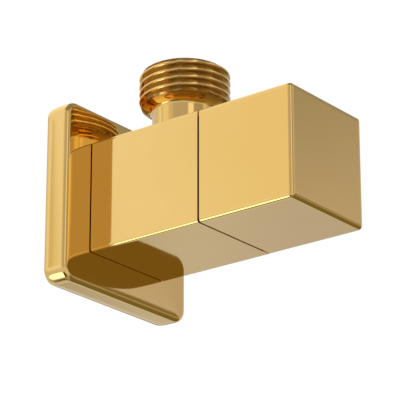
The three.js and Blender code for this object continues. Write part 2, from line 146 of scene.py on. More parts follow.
# name, azimuth, elevation, full and zero reach in degrees from the centre, brightness
STUDIO_CARDS = [
    ("dim_ceiling", 0, 90, 50, 60, (0.26, 0.25, 0.23)),
    ("left_ceiling", 98, 52, 18, 28, (0.95, 0.93, 0.88)),
    ("high_window", 58, 47, 12, 22, (1.0, 1.0, 0.98)),
    ("dim_floor", 0, -90, 30, 64, (0.36, 0.33, 0.27)),
    ("bright_table", 126, -45, 13, 21, (2.3, 2.27, 2.12)),
    ("table_shadow", 64, -51, 9, 15, (0.05, 0.05, 0.04)),
    ("left_wall", 144, 21, 17, 34, (0.88, 0.87, 0.86)),
    ("warm_panel", 162, 20, 9, 16, (0.66, 0.60, 0.54)),
    ("amber_panel", 151, 22, 6, 10.5, (0.84, 0.79, 0.65)),
    ("wall_foot", 133, 18, 3, 7, (0.70, 0.64, 0.48)),
    ("camera_side", 205, 19, 18, 36, (0.50, 0.475, 0.48)),
    ("front_gap", 268, 20, 12, 20, (0.40, 0.37, 0.31)),
    ("front_strip", 239, 22, 5, 11, (0.98, 0.97, 0.92)),
    ("front_wall", 322, 20, 15, 26, (0.50, 0.475, 0.53)),
    ("front_low", 317, 16, 2.5, 6, (0.545, 0.525, 0.61)),
    ("upper_shade", 324, 38, 12.5, 18, (0.34, 0.33, 0.33)),
    ("rear_floor", 42, -19, 24, 44, (0.61, 0.64, 0.73)),
    ("rear_edge", 46, -20, 3, 8, (0.46, 0.45, 0.47)),
    ("rear_pillar", 26, -19, 8, 14, (0.50, 0.51, 0.61)),
    ("brown_flag", 345, -40, 22, 32, (0.17, 0.145, 0.06)),
    ("dark_flag", 318, -26, 24, 34, (0.19, 0.16, 0.065)),
    ("table_glow", 319, -1, 8, 12, (0.38, 0.33, 0.23)),
    ("table_edge", 319, 11, 2.5, 4.5, (0.22, 0.18, 0.1)),
    ("rear_dusk", 37, 4, 8, 11, (0.26, 0.22, 0.1)),
    ("corner_shadow", 188, -60, 16, 22, (0.02, 0.02, 0.02)),
]
STUDIO_BASE = (0.66, 0.65, 0.65, 1)
BACKDROP_STRENGTH = 1.02


def make_studio():
    """Soft surroundings: a pale room with brighter and darker cards, plain white to the camera."""
    world = bpy.data.worlds.new("studio")
    bpy.context.scene.world = world
    world.use_nodes = True
    tree = world.node_tree
    tree.nodes.clear()
    link = tree.links.new
    place = add_node(tree, "ShaderNodeTexCoord")
    colour = None
    for name, azimuth, elevation, inner, outer, value in STUDIO_CARDS:
        towards = add_node(tree, "ShaderNodeVectorMath", operation="DOT_PRODUCT", label=name)
        towards.inputs[1].default_value = direction(azimuth, elevation)
        link(place.outputs["Generated"], towards.inputs[0])
        share = add_node(
            tree, "ShaderNodeMapRange", interpolation_type="SMOOTHSTEP",
            From_Min=math.cos(math.radians(outer)), From_Max=math.cos(math.radians(inner)),
        )
        link(towards.outputs["Value"], share.inputs["Value"])
        mix = add_node(tree, "ShaderNodeMix", data_type="RGBA")
        sockets = {s.name: s for s in mix.inputs if s.enabled}
        sockets["A"].default_value = STUDIO_BASE
        sockets["B"].default_value = (*value, 1)
        if colour is not None:
            link(colour, sockets["A"])
        link(share.outputs["Result"], sockets["Factor"])
        colour = [s for s in mix.outputs if s.enabled][0]
    seen = add_node(tree, "ShaderNodeBackground", Color=(1, 1, 1, 1), Strength=BACKDROP_STRENGTH)
    lit = add_node(tree, "ShaderNodeBackground", Strength=1.0)
    link(colour, lit.inputs["Color"])
    path = add_node(tree, "ShaderNodeLightPath")
    both = add_node(tree, "ShaderNodeMixShader")
    link(path.outputs["Is Camera Ray"], both.inputs["Fac"])
    link(lit.outputs["Background"], both.inputs[1])
    link(seen.outputs["Background"], both.inputs[2])
    out = add_node(tree, "ShaderNodeOutputWorld")
    link(both.outputs["Shader"], out.inputs["Surface"])


FLOOR_DEPTH = 600
FLOOR_REACH = 12000
FLOOR_NEAR, FLOOR_FAR = 600, 3000  # where the floor starts and ends to pale
FLOOR_NEAR_GLOW, FLOOR_FAR_GLOW = 0.15, 0.6


def make_floor():
    """A plain pale floor, far below because the valve hangs on a wall, paling into white far away."""
    mesh = bpy.data.meshes.new("floor")
    reach = FLOOR_REACH * MM
    corners = [(x * reach, y * reach, -FLOOR_DEPTH * MM) for x, y in ((-1, -1), (1, -1), (1, 1), (-1, 1))]
    mesh.from_pydata(corners, [], [(0, 1, 2, 3)])
    floor = bpy.data.objects.new("floor", mesh)
    bpy.context.scene.collection.objects.link(floor)
    floor.visible_glossy = False
    material, tree, shader = new_material("floor")
    shader.inputs["Roughness"].default_value = 0.9
    shader.inputs["Base Color"].default_value = (0.9, 0.9, 0.9, 1)
    shader.inputs["Emission Color"].default_value = (1, 1, 1, 1)
    place = add_node(tree, "ShaderNodeTexCoord")
    far = add_node(tree, "ShaderNodeVectorMath", operation="LENGTH")
    tree.links.new(place.outputs["Object"], far.inputs[0])
    glow = add_node(
        tree, "ShaderNodeMapRange", From_Min=FLOOR_NEAR * MM, From_Max=FLOOR_FAR * MM,
        To_Min=FLOOR_NEAR_GLOW, To_Max=FLOOR_FAR_GLOW,
    )
    tree.links.new(far.outputs["Value"], glow.inputs["Value"])
    tree.links.new(glow.outputs["Result"], shader.inputs["Emission Strength"])
    mesh.materials.append(material)


# ---------------------------------------------------------------- materials

def noise(tree, scale, detail=3.0, roughness=0.5, stretch=(1, 1, 1)):
    """Noise fixed to the object, with its scale in features per metre."""
    place = add_node(tree, "ShaderNodeTexCoord")
    mapping = add_node(tree, "ShaderNodeMapping", Scale=stretch)
    texture = add_node(tree, "ShaderNodeTexNoise", Scale=scale, Detail=detail, Roughness=roughness)
    tree.links.new(place.outputs["Object"], mapping.inputs["Vector"])
    tree.links.new(mapping.outputs["Vector"], texture.inputs["Vector"])
    return texture.outputs["Fac"]


NOISE_LOW, NOISE_HIGH = 0.3, 0.7  # nearly all of a noise lies between these


def spread(tree, source, low, high):
    """Noise turned into a number between low and high."""
    share = add_node(
        tree, "ShaderNodeMapRange", From_Min=NOISE_LOW, From_Max=NOISE_HIGH, To_Min=low, To_Max=high)
    tree.links.new(source, share.inputs["Value"])
    return share.outputs["Result"]


def two_colours(tree, source, first, second):
    """Noise turned into a colour between two."""
    colours = add_node(tree, "ShaderNodeValToRGB")
    stops = zip(colours.color_ramp.elements, (NOISE_LOW, NOISE_HIGH), (first, second))
    for element, position, colour in stops:
        element.position = position
        element.color = (*colour, 1)
    tree.links.new(source, colours.inputs["Fac"])
    return colours.outputs["Color"]


def bump(tree, shader, source, height, strength):
    """Surface relief, its height in millimetres."""
    relief = add_node(tree, "ShaderNodeBump", Strength=strength, Distance=height * MM)
    tree.links.new(source, relief.inputs["Height"])
    tree.links.new(relief.outputs["Normal"], shader.inputs["Normal"])


def polished_gold(name="polished_gold"):
    """Mirror-polished gold coating: faint polishing waves, and haze that comes and goes."""
    material, tree, shader = new_material(name)
    shader.inputs["Metallic"].default_value = 1
    colour = two_colours(tree, noise(tree, 60, 4), (0.955, 0.655, 0.232), (0.965, 0.672, 0.248))
    tree.links.new(colour, shader.inputs["Base Color"])
    haze = spread(tree, noise(tree, 180, 5, 0.6), 0.03, 0.075)
    tree.links.new(haze, shader.inputs["Roughness"])
    bump(tree, shader, noise(tree, 45, 1), 0.05, 0.12)
    return material


def threaded_gold_and_groove_shade():
    """The gold of the body: its threads are left as turned, duller and rougher. The outlet's thread is
    browner below its crests, partly the turned finish and partly painted shade in the grooves; the tail
    behind the flange takes the same browner colour all over.
    """
    material = polished_gold("threaded_gold_and_groove_shade")
    tree = material.node_tree
    shader = tree.nodes["Principled BSDF"]
    axes = add_node(tree, "ShaderNodeSeparateXYZ")
    tree.links.new(add_node(tree, "ShaderNodeTexCoord").outputs["Object"], axes.inputs["Vector"])
    above = ramp(tree, axes.outputs["Z"], THREAD_FOOT - 0.3, THREAD_FOOT + 0.3)
    behind = ramp(tree, axes.outputs["Y"], FLANGE_FRONT + 0.7, FLANGE_FRONT + 1.3)
    across = calculate(tree, "SUBTRACT", axes.outputs["Y"], OUTLET_Y * MM)
    radius = calculate(tree, "SQRT", calculate(
        tree, "ADD",
        calculate(tree, "MULTIPLY", across, across),
        calculate(tree, "MULTIPLY", axes.outputs["X"], axes.outputs["X"]),
    ))
    # painted shade: below the outlet's crests the gold turns browner, partly standing for the duller turned
    # finish and partly for shade in the grooves
    depth = calculate(tree, "SUBTRACT", 1.0, ramp(tree, radius, PIPE_CREST - 0.3, PIPE_CREST - 0.04))
    share = calculate(tree, "MAXIMUM", calculate(tree, "MULTIPLY", above, depth), behind)
    blend(tree, share, shader, "Base Color", two_colours(
        tree, noise(tree, 700, 4, 0.6), (0.52, 0.325, 0.10), (0.62, 0.40, 0.135)))
    rough = spread(tree, noise(tree, 1200, 4, 0.6), 0.09, 0.17)
    blend(tree, calculate(tree, "MAXIMUM", above, behind), shader, "Roughness", rough)
    return material


def ramp(tree, value, start, end):
    """A node that climbs from 0 to 1 between two lengths."""
    zone = add_node(tree, "ShaderNodeMapRange", From_Min=start * MM, From_Max=end * MM)
    tree.links.new(value, zone.inputs["Value"])
    return zone.outputs["Result"]


def calculate(tree, operation, *values):
    """A node that does a sum on other nodes' values or on plain numbers."""
    node = add_node(tree, "ShaderNodeMath", operation=operation)
    for socket, value in zip(node.inputs, values):
        if isinstance(value, float):
            socket.default_value = value
        else:
            tree.links.new(value, socket)
    return node.outputs["Value"]


def blend(tree, share, shader, socket, second):
    """Mixes what feeds a shader's socket with a second source, by a share from 0 to 1."""
    target = shader.inputs[socket]
    first = target.links[0].from_socket
    kind = "RGBA" if target.type == "RGBA" else "FLOAT"
    mix = add_node(tree, "ShaderNodeMix", data_type=kind)
    by_type = {s.name: s for s in mix.inputs if s.enabled}
    tree.links.new(share, by_type["Factor"])
    tree.links.new(first, by_type["A"])
    tree.links.new(second, by_type["B"])
    tree.links.new([s for s in mix.outputs if s.enabled][0], target)


def machined_brass():
    """Bare turned brass with fine tool marks across the axis."""
    material, tree, shader = new_material("machined_brass")
    shader.inputs["Metallic"].default_value = 1
    marks = noise(tree, 900, 4, 0.6, (0.15, 6, 0.15))
    colour = two_colours(tree, noise(tree, 300, 5), (0.70, 0.49, 0.19), (0.80, 0.60, 0.27))
    tree.links.new(colour, shader.inputs["Base Color"])
    tree.links.new(spread(tree, marks, 0.22, 0.4), shader.inputs["Roughness"])
    bump(tree, shader, marks, 0.02, 0.35)
    return material


def stainless_steel():
    material, tree, shader = new_material("stainless_steel")
    shader.inputs["Metallic"].default_value = 1
    grain = noise(tree, 2200, 3, 0.6)
    colour = two_colours(tree, noise(tree, 500, 4), (0.52, 0.52, 0.53), (0.62, 0.61, 0.60))
    tree.links.new(colour, shader.inputs["Base Color"])
    tree.links.new(spread(tree, grain, 0.2, 0.36), shader.inputs["Roughness"])
    bump(tree, shader, grain, 0.01, 0.4)
    return material


def black_rubber():
    material, tree, shader = new_material("black_rubber")
    grain = noise(tree, 3000, 4, 0.7)
    colour = two_colours(tree, noise(tree, 700, 4), (0.012, 0.012, 0.013), (0.028, 0.027, 0.027))
    tree.links.new(colour, shader.inputs["Base Color"])
    tree.links.new(spread(tree, grain, 0.5, 0.75), shader.inputs["Roughness"])
    bump(tree, shader, grain, 0.02, 0.5)
    return material


def white_ceramic():
    material, tree, shader = new_material("white_ceramic")
    speckle = noise(tree, 4000, 3, 0.6)
    colour = two_colours(tree, speckle, (0.80, 0.78, 0.73), (0.86, 0.85, 0.81))
    tree.links.new(colour, shader.inputs["Base Color"])
    tree.links.new(spread(tree, speckle, 0.12, 0.3), shader.inputs["Roughness"])
    return material


def white_polymer():
    material, tree, shader = new_material("white_polymer")
    mottle = noise(tree, 1500, 4, 0.6)
    colour = two_colours(tree, mottle, (0.80, 0.79, 0.76), (0.88, 0.87, 0.85))
    tree.links.new(colour, shader.inputs["Base Color"])
    tree.links.new(spread(tree, mottle, 0.4, 0.6), shader.inputs["Roughness"])
    bump(tree, shader, mottle, 0.02, 0.3)
    return material


# ---------------------------------------------------------------- meshes

def mesh_object(name, points, faces):
    """A closed mesh from points in millimetres, its faces turned outwards."""
    mesh = bpy.data.meshes.new(name)
    mesh.from_pydata([[c * MM for c in p] for p in points], [], faces)
    work = bmesh.new()
    work.from_mesh(mesh)
    bmesh.ops.recalc_face_normals(work, faces=work.faces)
    work.to_mesh(mesh)
    work.free()
    thing = bpy.data.objects.new(name, mesh)
    bpy.context.scene.collection.objects.link(thing)
    return thing


def loft(name, rings, ring_shaped=False):
    """A skin over equal rings of points: capped at both ends, or closed from the last ring to the first."""
    count = len(rings[0])
    points = [p for ring in rings for p in ring]
    faces = []
    last = len(rings) if ring_shaped else len(rings) - 1
    for r in range(last):
        here, there = r * count, ((r + 1) % len(rings)) * count
        for k in range(count):
            after = (k + 1) % count
            faces.append((here + k, here + after, there + after, there + k))
    if not ring_shaped:
        faces.append(tuple(reversed(range(count))))
        faces.append(tuple(range((len(rings) - 1) * count, len(rings) * count)))
    return mesh_object(name, points, faces)


def rounded(outline, radius, closed=False):
    """An outline with its corners rounded off as far as the neighbouring points leave room."""
    steps = 4
    blunt = 0.2  # a turn in radians that is too slight to be rounded
    points = [Vector(p) for p in outline]
    count = len(points)
    result = []
    for i, corner in enumerate(points):
        if not closed and i in (0, count - 1):
            result.append(tuple(corner))
            continue
        before, after = points[i - 1], points[(i + 1) % count]
        to_before, to_after = before - corner, after - corner
        room = 0.45 * min(to_before.length, to_after.length)
        turn = math.pi - to_before.angle(to_after)
        if turn < blunt:
            result.append(tuple(corner))
            continue
        cut = min(radius * math.tan(turn / 2), room)
        start = corner + to_before.normalized() * cut
        end = corner + to_after.normalized() * cut
        for k in range(steps + 1):
            t = k / steps
            point = start * (1 - t) ** 2 + corner * 2 * t * (1 - t) + end * t ** 2
            result.append(tuple(point))
    return result


def circle(radius, along, steps):
    """A ring of points about the Y axis."""
    return [
        (radius * math.cos(2 * math.pi * k / steps), along, radius * math.sin(2 * math.pi * k / steps))
        for k in range(steps)
    ]


def turned(name, outline, steps=ROUND, ring_shaped=False):
    """A body of revolution about Y."""
    return loft(name, [circle(radius, along, steps) for radius, along in outline], ring_shaped)


def rod(name, radius, start, end, steps=ROUND):
    return turned(name, [(radius, start), (radius, end)], steps)


def o_ring(name, middle, section, along, steps=ROUND):
    """A ring of round section; the section is given by its radius."""
    outline = [(middle + x, along + z) for x, y, z in circle(section, 0, 16)]
    return turned(name, outline, steps, ring_shaped=True)


def prism(name, outline, start, end, edge=0.0):
    """A flat outline in X-Z, given thickness along Y, with its end edges rounded."""
    thing = loft(name, [[(x, along, z) for x, z in outline] for along in (start, end)])
    if edge:
        soften(thing, edge, lambda a, b: abs(a.y - b.y) < 1e-6)
    return thing


def block(name, width, height, start, end):
    """A box about the Y axis."""
    x, z = width / 2, height / 2
    return prism(name, [(-x, -z), (x, -z), (x, z), (-x, z)], start, end)


def soften(thing, radius, wanted=lambda a, b: True):
    """Rounds the edges whose two ends satisfy a test."""
    work = bmesh.new()
    work.from_mesh(thing.data)
    edges = [
        edge for edge in work.edges
        if len(edge.link_faces) == 2 and edge.calc_face_angle() > SHARP_ANGLE
        and wanted(edge.verts[0].co, edge.verts[1].co)
    ]
    bmesh.ops.bevel(
        work, geom=edges, offset=radius * MM, segments=3, profile=0.5,
        affect="EDGES", clamp_overlap=True,
    )
    work.to_mesh(thing.data)
    work.free()
    return thing


def combine(target, operation, tools):
    """Joins or cuts a mesh with others, which are used up."""
    for tool in tools:
        modifier = target.modifiers.new("combine", "BOOLEAN")
        modifier.operation = operation
        modifier.solver = "MANIFOLD"
        modifier.object = tool
    bpy.context.view_layer.update()
    seen = target.evaluated_get(bpy.context.evaluated_depsgraph_get())
    mesh = bpy.data.meshes.new_from_object(seen)
    target.modifiers.clear()
    old = target.data
    target.data = mesh
    bpy.data.meshes.remove(old)
    for tool in tools:
        bpy.data.objects.remove(tool)
    return target


def cut(target, *tools):
    return combine(target, "DIFFERENCE", tools)


def join(target, *tools):
    return combine(target, "UNION", tools)


def place_mesh(thing, matrix):
    """Moves a mesh's points; the object itself stays at the origin."""
    scaled = matrix.copy()
    scaled.translation = matrix.translation * MM
    thing.data.transform(scaled)
    thing.data.update()
    return thing


def on_outlet_axis(thing):
    """A piece made about Y, stood up on the outlet's axis."""
    return place_mesh(thing, Matrix.Translation((0, OUTLET_Y, 0)) @ Matrix.Rotation(math.pi / 2, 4, "X"))


SAME_POINT = 1e-7  # metres


def finish_piece(thing, body, node, material=None):
    """Shading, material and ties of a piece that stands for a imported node."""
    work = bmesh.new()
    work.from_mesh(thing.data)
    bmesh.ops.remove_doubles(work, verts=work.verts, dist=SAME_POINT)
    for face in work.faces:
        face.smooth = True
    for edge in work.edges:
        edge.smooth = len(edge.link_faces) == 2 and edge.calc_face_angle() < SHARP_ANGLE
    work.to_mesh(thing.data)
    work.free()
    normals = thing.modifiers.new("normals", "WEIGHTED_NORMAL")
    normals.keep_sharp = True
    normals.weight = 50
    thing.data.materials.clear()
    thing.data.materials.append(material or MATERIALS[SLOT_OF[node]])
    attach(thing, body)
    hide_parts(node)
    return thing


# ---------------------------------------------------------------- threads

# root and crest radii, pitch, share of the pitch that the crests keep flat, rows in a pitch
PIPE_THREAD = (PIPE_ROOT, PIPE_CREST, PIPE_PITCH, 0.22, 16)
HEADWORK_THREAD = (9.25, 9.85, 1, 0.05, 12)
ADAPTER_SCREW_THREAD = (1.6, 1.9, 0.7, 0.05, 12)
SET_SCREW_THREAD = (2.1, 2.45, 0.8, 0.05, 12)
ROOT_FLAT = 0.05
FLANK_SOFTNESS = 0.35  # 0 is a straight flank, 1 blends softly into root and crest


def thread_height(place, flat):
    """Share of the full depth at a place between two roots, from 0 to 1."""
    rise = 1 - abs(2 * (place % 1) - 1)
    share = min(max((rise - ROOT_FLAT) / (1 - ROOT_FLAT - flat), 0), 1)
    soft = share * share * (3 - 2 * share)
    return soft * FLANK_SOFTNESS + share * (1 - FLANK_SOFTNESS)


def threaded_rod(name, outline, thread, thread_start, thread_end, steps=ROUND):
    """A turned piece whose radius is an outline, with a right-handed thread cut into it."""
    root, crest, pitch, flat, rows_in_pitch = thread
    rows = int((thread_end - thread_start) / pitch * rows_in_pitch) + 1
    levels = sorted({
        *[along for radius, along in outline],
        *[thread_start + k * pitch / rows_in_pitch for k in range(rows)],
    })
    rings = []
    for along in levels:
        limit = outline_radius(outline, along)
        points = []
        for k in range(steps):
            angle = 2 * math.pi * k / steps
            radius = limit
            if thread_start <= along <= thread_end:
                height = thread_height((along - thread_start) / pitch + angle / (2 * math.pi), flat)
                radius = min(limit, root + height * (crest - root))
            points.append((radius * math.cos(angle), along, radius * math.sin(angle)))
        rings.append(points)
    return loft(name, rings)


def outline_radius(outline, along):
    """The radius of an outline at a place along its axis."""
    for (r0, a0), (r1, a1) in zip(outline, outline[1:]):
        if a0 <= along <= a1:
            return r0 + (r1 - r0) * (along - a0) / max(a1 - a0, 1e-9)
    return outline[-1][0]


# ---------------------------------------------------------------- body, flange and knob

NECK_RADIUS = 7.5
OUTLET_BORE = 4.75
INLET_BORE = 5
STRAINER_POCKET = 7.1
CHAMBER_RADIUS = 9.2
MOUTH_RADIUS = 10.05
SEAT_Y = -15.5
CHAMBER_FRONT = -29
SET_SCREW_Y = -54.6


EDGE_SHARPNESS = 2.6  # 2 rolls an edge as a circle; more keeps it tight and blends it softly


def soft_quarter(steps, sharpness=EDGE_SHARPNESS):
    """A quarter turn from (1, 0) to (0, 1) that leaves its two sides softly."""
    share = 2 / sharpness
    angles = [math.pi / 2 * k / steps for k in range(steps + 1)]
    return [(max(math.cos(a), 0) ** share, max(math.sin(a), 0) ** share) for a in angles]


def soft_square(half, corner, along, per_side=6, per_corner=10, sharpness=EDGE_SHARPNESS):
    """A ring round a square with softly rounded corners, the same count whatever its size."""
    reach = half - corner
    points = []
    for quarter in range(4):
        turn = Matrix.Rotation(quarter * math.pi / 2, 2)
        for k in range(per_side):
            points.append(turn @ Vector((half, reach * (2 * k / per_side - 1))))
        for c, d in soft_quarter(per_corner, sharpness)[:-1]:
            points.append(turn @ Vector((reach + corner * c, reach + corner * d)))
    return [(p.x, along, p.y) for p in points]


def square_bar(name, start, end, corner, start_edge, end_edge):
    """A square bar along Y; the rims at its two ends have their own radii."""
    def rim(edge, rim_place, inwards):
        rings = []
        for across, deep in soft_quarter(8):
            inset = edge * (1 - deep)
            along = rim_place + inwards * edge * (1 - across)
            rings.append(soft_square(HALF - inset, max(corner - inset, 0.1), along))
        return rings

    return loft(name, rim(start_edge, start, 1) + rim(end_edge, end, -1)[::-1])


def square_body():
    """The forging: square body, round neck with the outlet thread, and threaded tail, bored through."""
    foot = THREAD_FOOT
    inside = HALF - 1
    neck = [
        (NECK_RADIUS, inside), (NECK_RADIUS, foot - 1.3), (NECK_RADIUS + 0.25, foot - 0.75),
        (NECK_RADIUS + 0.75, foot - 0.35), (PIPE_ROOT - 0.3, foot), (PIPE_ROOT + 0.5, foot + 0.25),
        (PIPE_CREST, foot + 0.8), (PIPE_CREST, OUTLET_TOP - 0.9), (PIPE_ROOT + 0.1, OUTLET_TOP - 0.12),
        (PIPE_ROOT - 0.1, OUTLET_TOP),
    ]
    outlet = on_outlet_axis(threaded_rod("outlet", neck, PIPE_THREAD, foot + 0.3, OUTLET_TOP - 0.1))
    tail_outline = [
        (PIPE_ROOT, BODY_BACK - 1), (PIPE_ROOT, BODY_BACK + 1), (PIPE_CREST, BODY_BACK + 2),
        (PIPE_CREST, TAIL_END - 1.1), (PIPE_ROOT, TAIL_END - 0.1), (PIPE_ROOT - 0.15, TAIL_END),
    ]
    tail = threaded_rod("tail", tail_outline, PIPE_THREAD, BODY_BACK + 1, TAIL_END - 0.1)
    body = square_bar("square_body", BODY_FRONT - BODY_LIP, BODY_BACK, 0.9, 0.1, 0.2)
    join(body, outlet, tail)
    chamfer = 0.5
    past = 0.5  # how far a cut goes on beyond the metal
    outlet_bore = [
        (OUTLET_BORE, CHAMBER_RADIUS / 2), (OUTLET_BORE, OUTLET_TOP - chamfer),
        (OUTLET_BORE + chamfer + past, OUTLET_TOP + past),
    ]
    inlet_bore = [
        (INLET_BORE, SEAT_Y - 1), (INLET_BORE, -1.8), (STRAINER_POCKET, -1.2),
        (STRAINER_POCKET, TAIL_END - chamfer), (STRAINER_POCKET + chamfer + past, TAIL_END + past),
    ]
    chamber = [
        (MOUTH_RADIUS + chamfer + past, BODY_FRONT - past), (MOUTH_RADIUS, BODY_FRONT + chamfer),
        (MOUTH_RADIUS, CHAMBER_FRONT), (CHAMBER_RADIUS, CHAMBER_FRONT + 0.4), (CHAMBER_RADIUS, SEAT_Y),
    ]
    cut(
        body,
        on_outlet_axis(turned("outlet_bore", outlet_bore)),
        turned("inlet_bore", inlet_bore),
        turned("chamber", chamber),
    )
    return finish_piece(body, "valve", "valve_body", threaded_gold_and_groove_shade())


def flange_plate():
    """A shallow square cup: a flat face that falls away softly towards its rolled rim, and a round hole."""
    corner = 3.4
    fillet = 1.25
    wall = 1.4
    fall = 0.11
    fall_reach = 1.15
    hole = PIPE_CREST + 0.35
    face_back = FLANGE_FRONT + wall
    back_fillet = 0.6
    rim = 0.15
    lean_start = 3.2  # how far from the wall the sides start to lean in, and how fast they do
    lean = 0.0107

    def square_ring(inset, along):
        return soft_square(FLANGE_HALF - inset, max(corner - inset, 0.3), along, 24, 12, 2)

    def face_ring(share, inset, along):
        """A ring between the hole's edge (share 0) and a square ring with an inset (share 1)."""
        points = []
        for x, y, z in square_ring(inset, along):
            radius = math.hypot(x, z)
            scale = (hole * (1 - share) + radius * share) / radius
            points.append((x * scale, along, z * scale))
        return points

    rings = [face_ring(0, fillet, face_back), face_ring(0, fillet, FLANGE_FRONT + 0.1)]
    for share in [0.015, 0.1, 0.3] + [1 - (1 - k / 16) ** 1.6 for k in range(5, 17)]:
        edge_distance = (1 - share) * (FLANGE_HALF - fillet - hole)
        rings.append(face_ring(share, fillet, FLANGE_FRONT + fall * math.exp(-edge_distance / fall_reach)))
    edge = FLANGE_FRONT + fall
    for across, deep in soft_quarter(8, 2.2)[1:]:
        rings.append(square_ring(fillet * (1 - deep), edge + fillet * (1 - across)))
    for along in (-lean_start, -2.7, -2.2, -1.8, -1.4, -1, -0.7, -0.4, -rim):
        rings.append(square_ring(lean * (lean_start + along) ** 3, along))
    rings += [square_ring(0.37 + rim, 0), square_ring(wall - rim, 0), square_ring(wall, -rim)]
    rings += [square_ring(wall, face_back + back_fillet), square_ring(wall + back_fillet, face_back)]
    rings += [face_ring(share, wall + back_fillet, face_back) for share in (0.66, 0.33)]
    plate = loft("flange_plate", rings, ring_shaped=True)
    return finish_piece(plate, "flange", "wall_flange")


def square_knob():
    """The handle: bored for the headwork's nut, with a square socket for the adapter and a screw hole."""
    knob = square_bar("square_knob", KNOB_FRONT, KNOB_BACK + KNOB_LIP, 1.1, 1.3, 0.14)
    bore_radius, bore_end, chamfer = 11.7, -52, 0.4
    bore = [
        (bore_radius, bore_end), (bore_radius, KNOB_BACK - chamfer),
        (bore_radius + 2 * chamfer, KNOB_BACK + chamfer),
    ]
    socket_side = 12.3
    socket = block("socket", socket_side, socket_side, KNOB_FRONT + 3.2, bore_end + 1)
    hole = [(2.6, 0), (2.6, HALF - 0.3), (3.3, HALF + 0.4)]
    screw_hole = place_mesh(
        turned("screw_hole", hole, SMALL_ROUND),
        Matrix.Translation((0, SET_SCREW_Y, 0)) @ Matrix.Rotation(-math.pi / 2, 4, "Z"),
    )
    cut(knob, turned("bore", bore), socket, screw_hole)
    return finish_piece(knob, "handle", "knob")


# ---------------------------------------------------------------- flat outlines in X-Z

def hexagon(across_flats):
    radius = across_flats / math.sqrt(3)
    return [(x, z) for x, y, z in circle(radius, 0, 6)]


def arc(radius, start, end, steps):
    """Points on a circle between two angles in degrees."""
    angles = [math.radians(start + (end - start) * k / steps) for k in range(steps + 1)]
    return [(radius * math.cos(a), radius * math.sin(a)) for a in angles]


def sector(inner, outer, start, end, steps=24):
    """Part of a ring between two angles in degrees, counted from +X towards +Z."""
    return arc(outer, start, end, steps) + arc(inner, end, start, steps)


def spline(tip):
    """The outline of a splined shaft with soft teeth, or of its socket when made larger."""
    teeth, depth, per_tooth = 20, 0.3, 8
    points = []
    for k in range(teeth * per_tooth):
        turn = 2 * math.pi * k / (teeth * per_tooth)
        wave = min(max(0.5 + 0.9 * math.cos(teeth * turn), 0), 1)
        radius = tip - depth * (1 - wave)
        points.append((radius * math.cos(turn), radius * math.sin(turn)))
    return points


def half_turn(make):
    """Two copies of a mesh, half a turn apart about the main axis."""
    return [make(), place_mesh(make(), Matrix.Rotation(math.pi, 4, "Y"))]


def ends(node):
    """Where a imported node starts, on the user's side, and ends along Y."""
    low, high = node_box(node)
    return low.y, high.y


# ---------------------------------------------------------------- wall side

def strainer_cup():
    """A cup with a rim, its floor and side slotted four times right across."""
    front, back = ends("inlet_strainer")
    rim = back - 1.4
    reach = STRAINER_POCKET - 0.15
    outline = [
        (0.1, front), (3.6, front + 0.2), (4.9, front + 1.1), (5.6, rim), (reach, rim),
        (reach, back), (5, back), (4.4, front + 1.4), (3.4, front + 0.7), (0.1, front + 0.5),
    ]
    cup = turned("strainer_cup", rounded(outline, 0.35))
    cut(cup, *[
        place_mesh(block("slot", 1.2, 16, rim - 0.8, 1), Matrix.Rotation(k * math.pi / 4, 4, "Y"))
        for k in range(4)
    ])
    return finish_piece(cup, "valve", "inlet_strainer")


def grip_ring():
    """The rubber ring that holds the flange: two soft ribs towards the thread."""
    front, back = ends("flange_grip_ring")
    inner, outer = PIPE_CREST + 0.12, node_box("flange_grip_ring")[1].x
    middle = (front + back) / 2
    groove = 0.35
    outline = [
        (inner, front), (outer - 0.3, front), (outer, front + 0.5),
        (outer, back - 0.5), (outer - 0.3, back), (inner, back),
        (inner, middle + groove), (inner + groove, middle), (inner, middle - groove),
    ]
    shape = turned("grip_ring", rounded(outline, 0.25, closed=True), ring_shaped=True)
    return finish_piece(shape, "flange_grip", "flange_grip_ring")


# ---------------------------------------------------------------- headwork

SLEEVE_RADIUS = 7.9
NOSE_RADIUS = 6.2
WIDE_JOURNAL = 4.4
NARROW_JOURNAL = 3.4
RUNNING_GAP = 0.1
KEY_WIDTH = 2.6
STOP_HALF_SPAN = 30  # degrees
STEP_Y = -40.7  # where the spindle narrows inside the nose
NOSE_FRONT = -49
COLLAR_FRONT = BODY_FRONT - 1.55
HEXAGON_FRONT = COLLAR_FRONT - 3.5
DISC_FRONT, DISC_BACK = ends("moving_ceramic_disc")
FIXED_FRONT, FIXED_BACK = ends("fixed_ceramic_disc")
CAVITY_FRONT = ends("friction_washer")[0] - 0.05
SPLINE_BACK = ends("spline_adapter")[1]
CLIP_FRONT, CLIP_BACK = ends("spindle_circlip")


